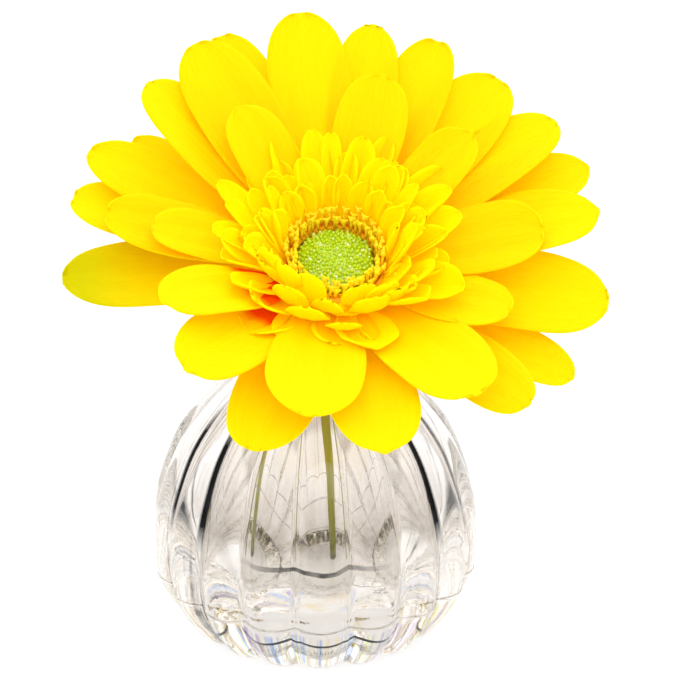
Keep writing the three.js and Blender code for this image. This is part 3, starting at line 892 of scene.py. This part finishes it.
class GERBERA_OT_vase(bpy.types.Operator):
    """Build the ribbed glass vase"""

    bl_idname = "gerbera.vase"
    bl_label = "Glass Vase"

    def execute(self, context):
        settings = context.scene.gerbera_glass
        columns = RIB_COUNT * settings.rib_steps
        outer = [(0, UNDERSIDE_RISE), (KNURL_RADIUS - 6, UNDERSIDE_RISE)]
        outer += [
            (KNURL_RADIUS + offset * KNURL_HALF_WIDTH / 4, UNDERSIDE_RISE) for offset in range(-4, 5)
        ]
        outer += UNDERSIDE_EDGE
        outer = [Vector((radius * MM, 0, height * MM)) for radius, height in outer]
        outer += [point * MM for point in self.with_seam(smooth_through(GLASS_OUTLINE, 8))]
        bm = bmesh.new()
        bm.verts.layers.float.new("groove")
        turned(bm, outer, columns)
        self.shape_ribs(bm, settings)
        turned(bm, [point * MM for point in smooth_through(CAVITY_OUTLINE, 4)], columns)
        settle(bm, 5e-6)
        to_piece(bm, "ribbed_vase", make_glass(settings), "clear_glass", "vase")
        return {"FINISHED"}

    def with_seam(self, line):
        """The outline with a thin ridge where the two halves of the mould met."""
        below = [point for point in line if point.z < SEAM_HEIGHT - SEAM_HALF_WIDTH - 0.1]
        above = [point for point in line if point.z > SEAM_HEIGHT + SEAM_HALF_WIDTH + 0.1]
        ridge = []
        for share, height in ((-1, 0), (-0.5, 0.7), (0, 1), (0.35, 0.7), (0.6, 0), (1, 0)):
            along = (SEAM_HEIGHT + share * SEAM_HALF_WIDTH - below[-1].z) / (above[0].z - below[-1].z)
            point = below[-1].lerp(above[0], along)
            point.x += height * SEAM_RISE
            ridge.append(point)
        return below + ridge + above

    def shape_ribs(self, bm, settings):
        spacing = TURN / RIB_COUNT
        groove = bm.verts.layers.float["groove"]
        for vert in bm.verts:
            radius = vert.co.xy.length / MM
            height = vert.co.z / MM
            if radius < 1:
                continue
            angle = math.atan2(vert.co.y, vert.co.x)
            if height < 1 and radius < UNDERSIDE_RADIUS:
                inside = 1 - abs(radius - KNURL_RADIUS) / KNURL_HALF_WIDTH
                if inside > 0:
                    notch = 0.5 + 0.5 * math.cos(angle * RIB_COUNT * KNURLS_PER_RIB)
                    vert.co.z += settings.knurl_depth * min(1, 2 * inside) * (0.35 + 0.65 * notch)
                continue
            turns = (angle - RIB_CREST_ANGLE) / spacing
            offset = 2 * (turns - round(turns))
            fade = min(1, max(0, (RIB_FADE_TO - height) / (RIB_FADE_TO - RIB_FADE_FROM)))
            foot = min(1, max(0, (radius - UNDERSIDE_RADIUS) / 4)) if height < 0.01 else 1
            vert[groove] = abs(offset) * min(1, 3 * fade) * foot
            scale = 1 - settings.rib_depth * fade * foot * offset * offset
            vert.co.x *= scale
            vert.co.y *= scale


class GERBERA_OT_water(bpy.types.Operator):
    """Fill the vase's lower part with water"""

    bl_idname = "gerbera.water"
    bl_label = "Water"

    def execute(self, context):
        settings = context.scene.gerbera_water
        wall = [point * MM for point in reversed(smooth_through(CAVITY_OUTLINE, 6))]
        wall = [point for point in wall if point.z < WATER_TOP]
        edge = wall[-1].x
        top = [
            Vector((edge * share, 0, WATER_TOP + settings.meniscus * share ** 24))
            for share in (0.995, 0.97, 0.93, 0.85, 0.6, 0.3, 0.0)
        ]
        bm = bmesh.new()
        turned(bm, wall + top, 96)
        for vert in bm.verts:
            if vert.co.xy.length > 0.001 and vert.co.z < WATER_TOP - 0.0001:
                vert.co.x *= 1.002
                vert.co.y *= 1.002
        settle(bm)
        to_piece(bm, "water", make_water(settings), "water", "water")
        return {"FINISHED"}


class GERBERA_OT_stem(bpy.types.Operator):
    """Build the stem, the green cup and its scales"""

    bl_idname = "gerbera.stem"
    bl_label = "Stem and Cup"

    def execute(self, context):
        settings = context.scene.gerbera_stem
        bm = bmesh.new()
        self.build_cup(bm)
        self.build_stem(bm, settings.radius)
        material = make_stem(settings)
        settle(bm)
        piece = to_piece(bm, "stem_and_cup", material, "green_stem", "stem")
        scales = bmesh.new()
        self.build_scales(scales, settings.bract_count)
        bracts = to_piece(scales, "cup_scales", material, "green_stem", "stem")
        thicken(bracts, 0.0006)
        return {"FINISHED"}

    def build_stem(self, bm, radius):
        foot = HEAD @ Vector((0, 0, CUP_OUTLINE[0][1] + 1))
        inside = HEAD @ Vector((0, 0, CUP_OUTLINE[3][1]))
        points = [Vector(point) * MM for point in STEM_POINTS] + [foot, inside]
        path = smooth_through(points, 10)
        ring = bmesh.ops.create_circle(bm, segments=24, radius=radius, cap_ends=True)["verts"]
        for i, vert in enumerate(ring):
            vert.co *= 1 + 0.03 * math.cos(6 * TURN * i / 24)
        section = [vert.co.copy() for vert in ring]
        for index, point in enumerate(path):
            ahead = path[min(len(path) - 1, index + 1)] - path[max(0, index - 1)]
            turn = ahead.to_track_quat("Z", "Y").to_matrix()
            if index > 0:
                edges = list({edge for vert in ring for edge in vert.link_edges
                              if all(end in ring for end in edge.verts)})
                grown = bmesh.ops.extrude_edge_only(bm, edges=edges)["geom"]
                fresh = {item for item in grown if isinstance(item, bmesh.types.BMVert)}
                ring = [next(edge.other_vert(vert) for edge in vert.link_edges
                             if edge.other_vert(vert) in fresh) for vert in ring]
            for vert, local in zip(ring, section):
                vert.co = point + turn @ local
        bmesh.ops.contextual_create(bm, geom=ring)

    def build_cup(self, bm):
        line = [Vector((0, 0, CUP_OUTLINE[0][1]))] + smooth_through(CUP_OUTLINE, 4)
        line += [Vector((CUP_EDGE_RADIUS, 0, CUP_TOP)), Vector((0, 0, CUP_TOP))]
        turned(bm, line, 40)
        bmesh.ops.transform(bm, matrix=HEAD, verts=bm.verts)

    def build_scales(self, bm, count):
        dice = random.Random(11)
        for number, (root, radius, reach, lean) in enumerate(BRACT_ROWS):
            for i in range(count):
                angle = TURN * (i + 0.5 * number + 0.3 * dice.uniform(-1, 1)) / count
                length = reach * dice.uniform(0.88, 1.05)
                tilt = math.radians(lean + dice.uniform(-4, 4))
                outward = Vector((math.cos(angle), math.sin(angle), 0))
                sideways = Vector((-math.sin(angle), math.cos(angle), 0))
                grid = bmesh.ops.create_grid(bm, x_segments=4, y_segments=8, size=0.5)["verts"]
                for vert in grid:
                    along = vert.co.y + 0.5
                    across = -2 * vert.co.x
                    half = 1.25 * (1 - along ** 2.2) * (0.75 + 0.5 * along) + 0.05
                    slope = tilt + 0.25 * along
                    out = radius + 0.15 + length * along * math.cos(slope) - 0.22 * across * across
                    up = root + length * along * math.sin(slope)
                    vert.co = HEAD @ (outward * out + sideways * across * half + Vector((0, 0, up)))


class GERBERA_OT_petals(bpy.types.Operator):
    """Build every petal and the core that they grow from"""

    bl_idname = "gerbera.petals"
    bl_label = "Petals"

    def execute(self, context):
        settings = context.scene.gerbera_petals
        material = make_petal(settings, "long_petal", 1.0, 0.0)
        self.build_listed("long_petals", LONG_PETALS, (36, 18), material, settings, 3)
        self.build_listed("middle_petals", MIDDLE_PETALS, (28, 16), material, settings, 5)
        # the short petals get a lighter copy of the colours and a faint glow, painted light where they
        # lie in shade
        self.build_rings(make_petal(settings, "short_petal", 1.12, 0.11), settings)
        core = bmesh.new()
        line = [Vector((0, 0, CORE_OUTLINE[0][1]))]
        line += [Vector((radius, 0, height)) for radius, height in CORE_OUTLINE]
        line += [Vector((0, 0, CORE_FLOOR))]
        turned(core, line, 48)
        bmesh.ops.transform(core, matrix=HEAD, verts=core.verts)
        settle(core)
        to_piece(core, "petal_core", make_core(settings), "yellow_petals", "petals")
        return {"FINISHED"}

    def build_listed(self, name, petals, grid, material, settings, seed):
        dice = random.Random(seed)
        bm = new_blades()
        for index, petal in enumerate(petals):
            long = petals is LONG_PETALS
            green = 1.0 if long and index == GREENISH_PETAL else 0.0
            flush = 1.0 if long and index in RED_SHADED_PETALS else 0.0
            add_blade(bm, petal, grid[0], grid[1], ROOT_RADIUS, dice, green, flush)
        thicken(to_piece(bm, name, material, "yellow_petals", "petals"), settings.thickness)

    def build_rings(self, material, settings):
        dice = random.Random(17)
        bm = new_blades()
        for ring in SHORT_RINGS:
            for i in range(ring.count):
                azimuth = ring.phase + 360 * i / ring.count + dice.uniform(-6, 6)
                near = max(0.0, -math.sin(math.radians(azimuth)))
                aside = abs(math.cos(math.radians(azimuth)))
                length = ring.length + (ring.near_length - ring.length) * near
                lift = ring.lift + (ring.near_lift - ring.lift) * near + SIDE_RISE * aside ** 2
                bend = ring.bend + (ring.near_bend - ring.bend) * near ** 1.5
                petal = Petal(
                    azimuth,
                    length * dice.uniform(0.82, 1.12),
                    ring.width * dice.uniform(0.72, 1.12) * (1 + 0.6 * near),
                    lift + dice.uniform(-8, 8),
                    bend + dice.uniform(-12, 12),
                    ring.root,
                    dice.uniform(-24, 24) * (1 - 0.5 * near),
                    dice.uniform(0.2, 0.9) * (1 - 0.5 * near),
                )
                add_blade(bm, petal, 14, 8, ring.root_radius, dice, scale=0.5)
        piece = to_piece(bm, "short_petals", material, "yellow_petals", "petals")
        thicken(piece, settings.thickness)


class GERBERA_OT_fringe(bpy.types.Operator):
    """Build the two rings of golden florets round the eye"""

    bl_idname = "gerbera.fringe"
    bl_label = "Fringe"

    def execute(self, context):
        settings = context.scene.gerbera_fringe
        dice = random.Random(23)
        bm = bmesh.new()
        rise = bm.verts.layers.float.new("rise")
        turned(bm, [Vector((radius, 0, height)) for radius, height in FRINGE_SEAT], 48)
        for row, (radius, lean, height) in enumerate(FLORET_ROWS):
            for i in range(settings.floret_count):
                angle = TURN * (i + 0.5 * row + dice.uniform(-0.3, 0.3)) / settings.floret_count
                leaning = lean + dice.uniform(-7, 7)
                self.add_floret(bm, rise, angle, radius, leaning, height * dice.uniform(0.72, 1.15), dice)
        bmesh.ops.transform(bm, matrix=HEAD, verts=bm.verts)
        bmesh.ops.recalc_face_normals(bm, faces=bm.faces)
        to_piece(bm, "golden_fringe", make_floret(settings), "golden_florets", "fringe")
        return {"FINISHED"}

    def add_floret(self, bm, rise, angle, radius, lean, height, dice):
        turn = Matrix.Rotation(angle, 4, "Z")
        outward = Matrix.Rotation(math.radians(lean), 4, "Y")
        sideways = Matrix.Rotation(math.radians(dice.uniform(-8, 8)), 4, "X")
        base = turn @ Matrix.Translation((radius, 0, FLORET_FOOT)) @ outward @ sideways
        stalk = bmesh.ops.create_cone(
            bm, cap_ends=True, segments=6, radius1=0.26, radius2=0.34, depth=height,
            matrix=base @ Matrix.Translation((0, 0, height / 2)),
        )["verts"]
        head_place = base @ Matrix.Translation((0, 0, height))
        head = bmesh.ops.create_uvsphere(
            bm, u_segments=7, v_segments=5, radius=1.0,
            matrix=head_place @ Matrix.Diagonal((0.64, 0.64, 0.75, 1)),
        )["verts"]
        lobes = []
        for side in (-1, 1):
            spread = Matrix.Translation((0, 0.5 * side, 0.5)) @ Matrix.Rotation(-0.7 * side, 4, "X")
            lobes += bmesh.ops.create_uvsphere(
                bm, u_segments=5, v_segments=4, radius=1.0,
                matrix=head_place @ spread @ Matrix.Diagonal((0.36, 0.36, 0.66, 1)),
            )["verts"]
        foot = base.inverted()
        for vert in stalk + head + lobes:
            vert[rise] = min(1.0, max(0.0, (foot @ vert.co).z / (height * 1.05)))


class GERBERA_OT_eye(bpy.types.Operator):
    """Build the green eye and its closed buds"""

    bl_idname = "gerbera.eye"
    bl_label = "Eye"

    def execute(self, context):
        settings = context.scene.gerbera_eye
        dice = random.Random(31)
        bm = bmesh.new()
        tint = bm.verts.layers.float.new("tint")
        turned(bm, [Vector((0, 0, EYE_OUTLINE[0][1]))] + smooth_through(EYE_OUTLINE, 4), 48)
        for i in range(settings.bud_count):
            radius = EYE_SPREAD * math.sqrt((i + 0.5) / settings.bud_count) + dice.uniform(-0.2, 0.1)
            angle = GOLDEN_ANGLE * i + dice.uniform(-0.35, 0.35) / (1 + abs(radius))
            share = radius / EYE_SPREAD
            size = 0.36 + 0.16 * share + dice.uniform(-0.04, 0.04)
            lean = 0.5 * share ** 2
            height = EYE_CREST - 1.7 * share ** 3.2
            place = (
                Matrix.Rotation(angle, 4, "Z")
                @ Matrix.Translation((radius, 0, height))
                @ Matrix.Rotation(lean, 4, "Y")
                @ Matrix.Diagonal((size, size, size * dice.uniform(1.1, 1.5), 1))
            )
            bud = bmesh.ops.create_uvsphere(bm, u_segments=8, v_segments=5, radius=1.0, matrix=place)
            shade = dice.uniform(0, 0.7) + 0.3 * share
            for vert in bud["verts"]:
                vert[tint] = shade
        bmesh.ops.transform(bm, matrix=HEAD, verts=bm.verts)
        bmesh.ops.recalc_face_normals(bm, faces=bm.faces)
        to_piece(bm, "green_eye", make_bud(settings), "green_eye", "eye")
        return {"FINISHED"}


class GERBERA_OT_studio(bpy.types.Operator):
    """Set up the pale floor, the lights and the camera"""

    bl_idname = "gerbera.studio"
    bl_label = "Studio"

    def execute(self, context):
        settings = context.scene.gerbera_studio
        self.build_backdrop(context)
        self.build_lights(context, settings)
        self.build_camera(context, settings)
        context.scene.view_settings.view_transform = "Standard"
        context.scene.cycles.max_bounces = 15
        context.scene.cycles.transmission_bounces = 15
        context.scene.cycles.glossy_bounces = 12
        context.scene.cycles.diffuse_bounces = 8
        return {"FINISHED"}

    def build_backdrop(self, context):
        bm = bmesh.new()
        bmesh.ops.create_grid(bm, x_segments=2, y_segments=2, size=1.5)
        mesh = bpy.data.meshes.new("floor")
        bm.to_mesh(mesh)
        bm.free()
        mesh.materials.append(make_backdrop())
        for vert in mesh.vertices:
            vert.co.z = -0.0001
        floor = bpy.data.objects.new("floor", mesh)
        context.scene.collection.objects.link(floor)

    def build_lights(self, context, settings):
        context.scene.world = make_walls(settings)
        self.add_softbox(context, "top_light", (0.1, -0.05, 0.95), 0.9, settings.key_power)
        self.add_softbox(context, "left_light", (-0.9, -0.45, 0.5), 0.7, settings.fill_power)
        self.add_softbox(context, "right_light", (0.95, -0.3, 0.45), 0.6, settings.fill_power * 0.8)
        self.add_softbox(context, "front_light", (0.0, -0.9, 0.6), 0.8, settings.front_power)

    def add_softbox(self, context, name, place, size, power):
        lamp = bpy.data.lights.new(name, "AREA")
        lamp.size = size
        lamp.energy = power
        box = bpy.data.objects.new(name, lamp)
        box.location = place
        aim = LAMP_TARGET - Vector(place)
        box.rotation_euler = aim.to_track_quat("-Z", "Y").to_euler()
        context.scene.collection.objects.link(box)

    def build_camera(self, context, settings):
        away = Vector((0, -math.cos(settings.elevation), math.sin(settings.elevation)))
        lens = bpy.data.cameras.new("camera")
        lens.lens = settings.lens
        lens.sensor_width = 36
        camera = bpy.data.objects.new("camera", lens)
        camera.location = CAMERA_TARGET + away * settings.distance
        camera.rotation_euler = (math.pi / 2 - settings.elevation, 0, 0)
        context.scene.collection.objects.link(camera)
        context.scene.camera = camera


class GERBERA_PT_panel(bpy.types.Panel):
    """Sizes, colours and the buttons that build each piece"""

    bl_label = "Gerbera in a Vase"
    bl_idname = "GERBERA_PT_panel"
    bl_space_type = "VIEW_3D"
    bl_region_type = "UI"
    bl_category = "Gerbera"

    def draw(self, context):
        for operator, group in STEPS:
            column = self.layout.column(align=True)
            column.operator(operator.bl_idname)
            settings = getattr(context.scene, group)
            for name in settings.__annotations__:
                column.prop(settings, name)


STEPS = [
    (GERBERA_OT_vase, "gerbera_glass"),
    (GERBERA_OT_water, "gerbera_water"),
    (GERBERA_OT_stem, "gerbera_stem"),
    (GERBERA_OT_petals, "gerbera_petals"),
    (GERBERA_OT_fringe, "gerbera_fringe"),
    (GERBERA_OT_eye, "gerbera_eye"),
    (GERBERA_OT_studio, "gerbera_studio"),
]
GROUPS = {
    "gerbera_glass": GlassSettings,
    "gerbera_water": WaterSettings,
    "gerbera_stem": StemSettings,
    "gerbera_petals": PetalSettings,
    "gerbera_fringe": FringeSettings,
    "gerbera_eye": EyeSettings,
    "gerbera_studio": StudioSettings,
}


def register():
    for name, group in GROUPS.items():
        bpy.utils.register_class(group)
        setattr(bpy.types.Scene, name, PointerProperty(type=group))
    for operator, _ in STEPS:
        bpy.utils.register_class(operator)
    bpy.utils.register_class(GERBERA_PT_panel)


def unregister():
    bpy.utils.unregister_class(GERBERA_PT_panel)
    for operator, _ in reversed(STEPS):
        bpy.utils.unregister_class(operator)
    for name, group in reversed(GROUPS.items()):
        delattr(bpy.types.Scene, name)
        bpy.utils.unregister_class(group)


def main():
    register()
    for operator, _ in STEPS:
        group, name = operator.bl_idname.split(".")
        getattr(getattr(bpy.ops, group), name)()


if __name__ == "__main__":
    main()
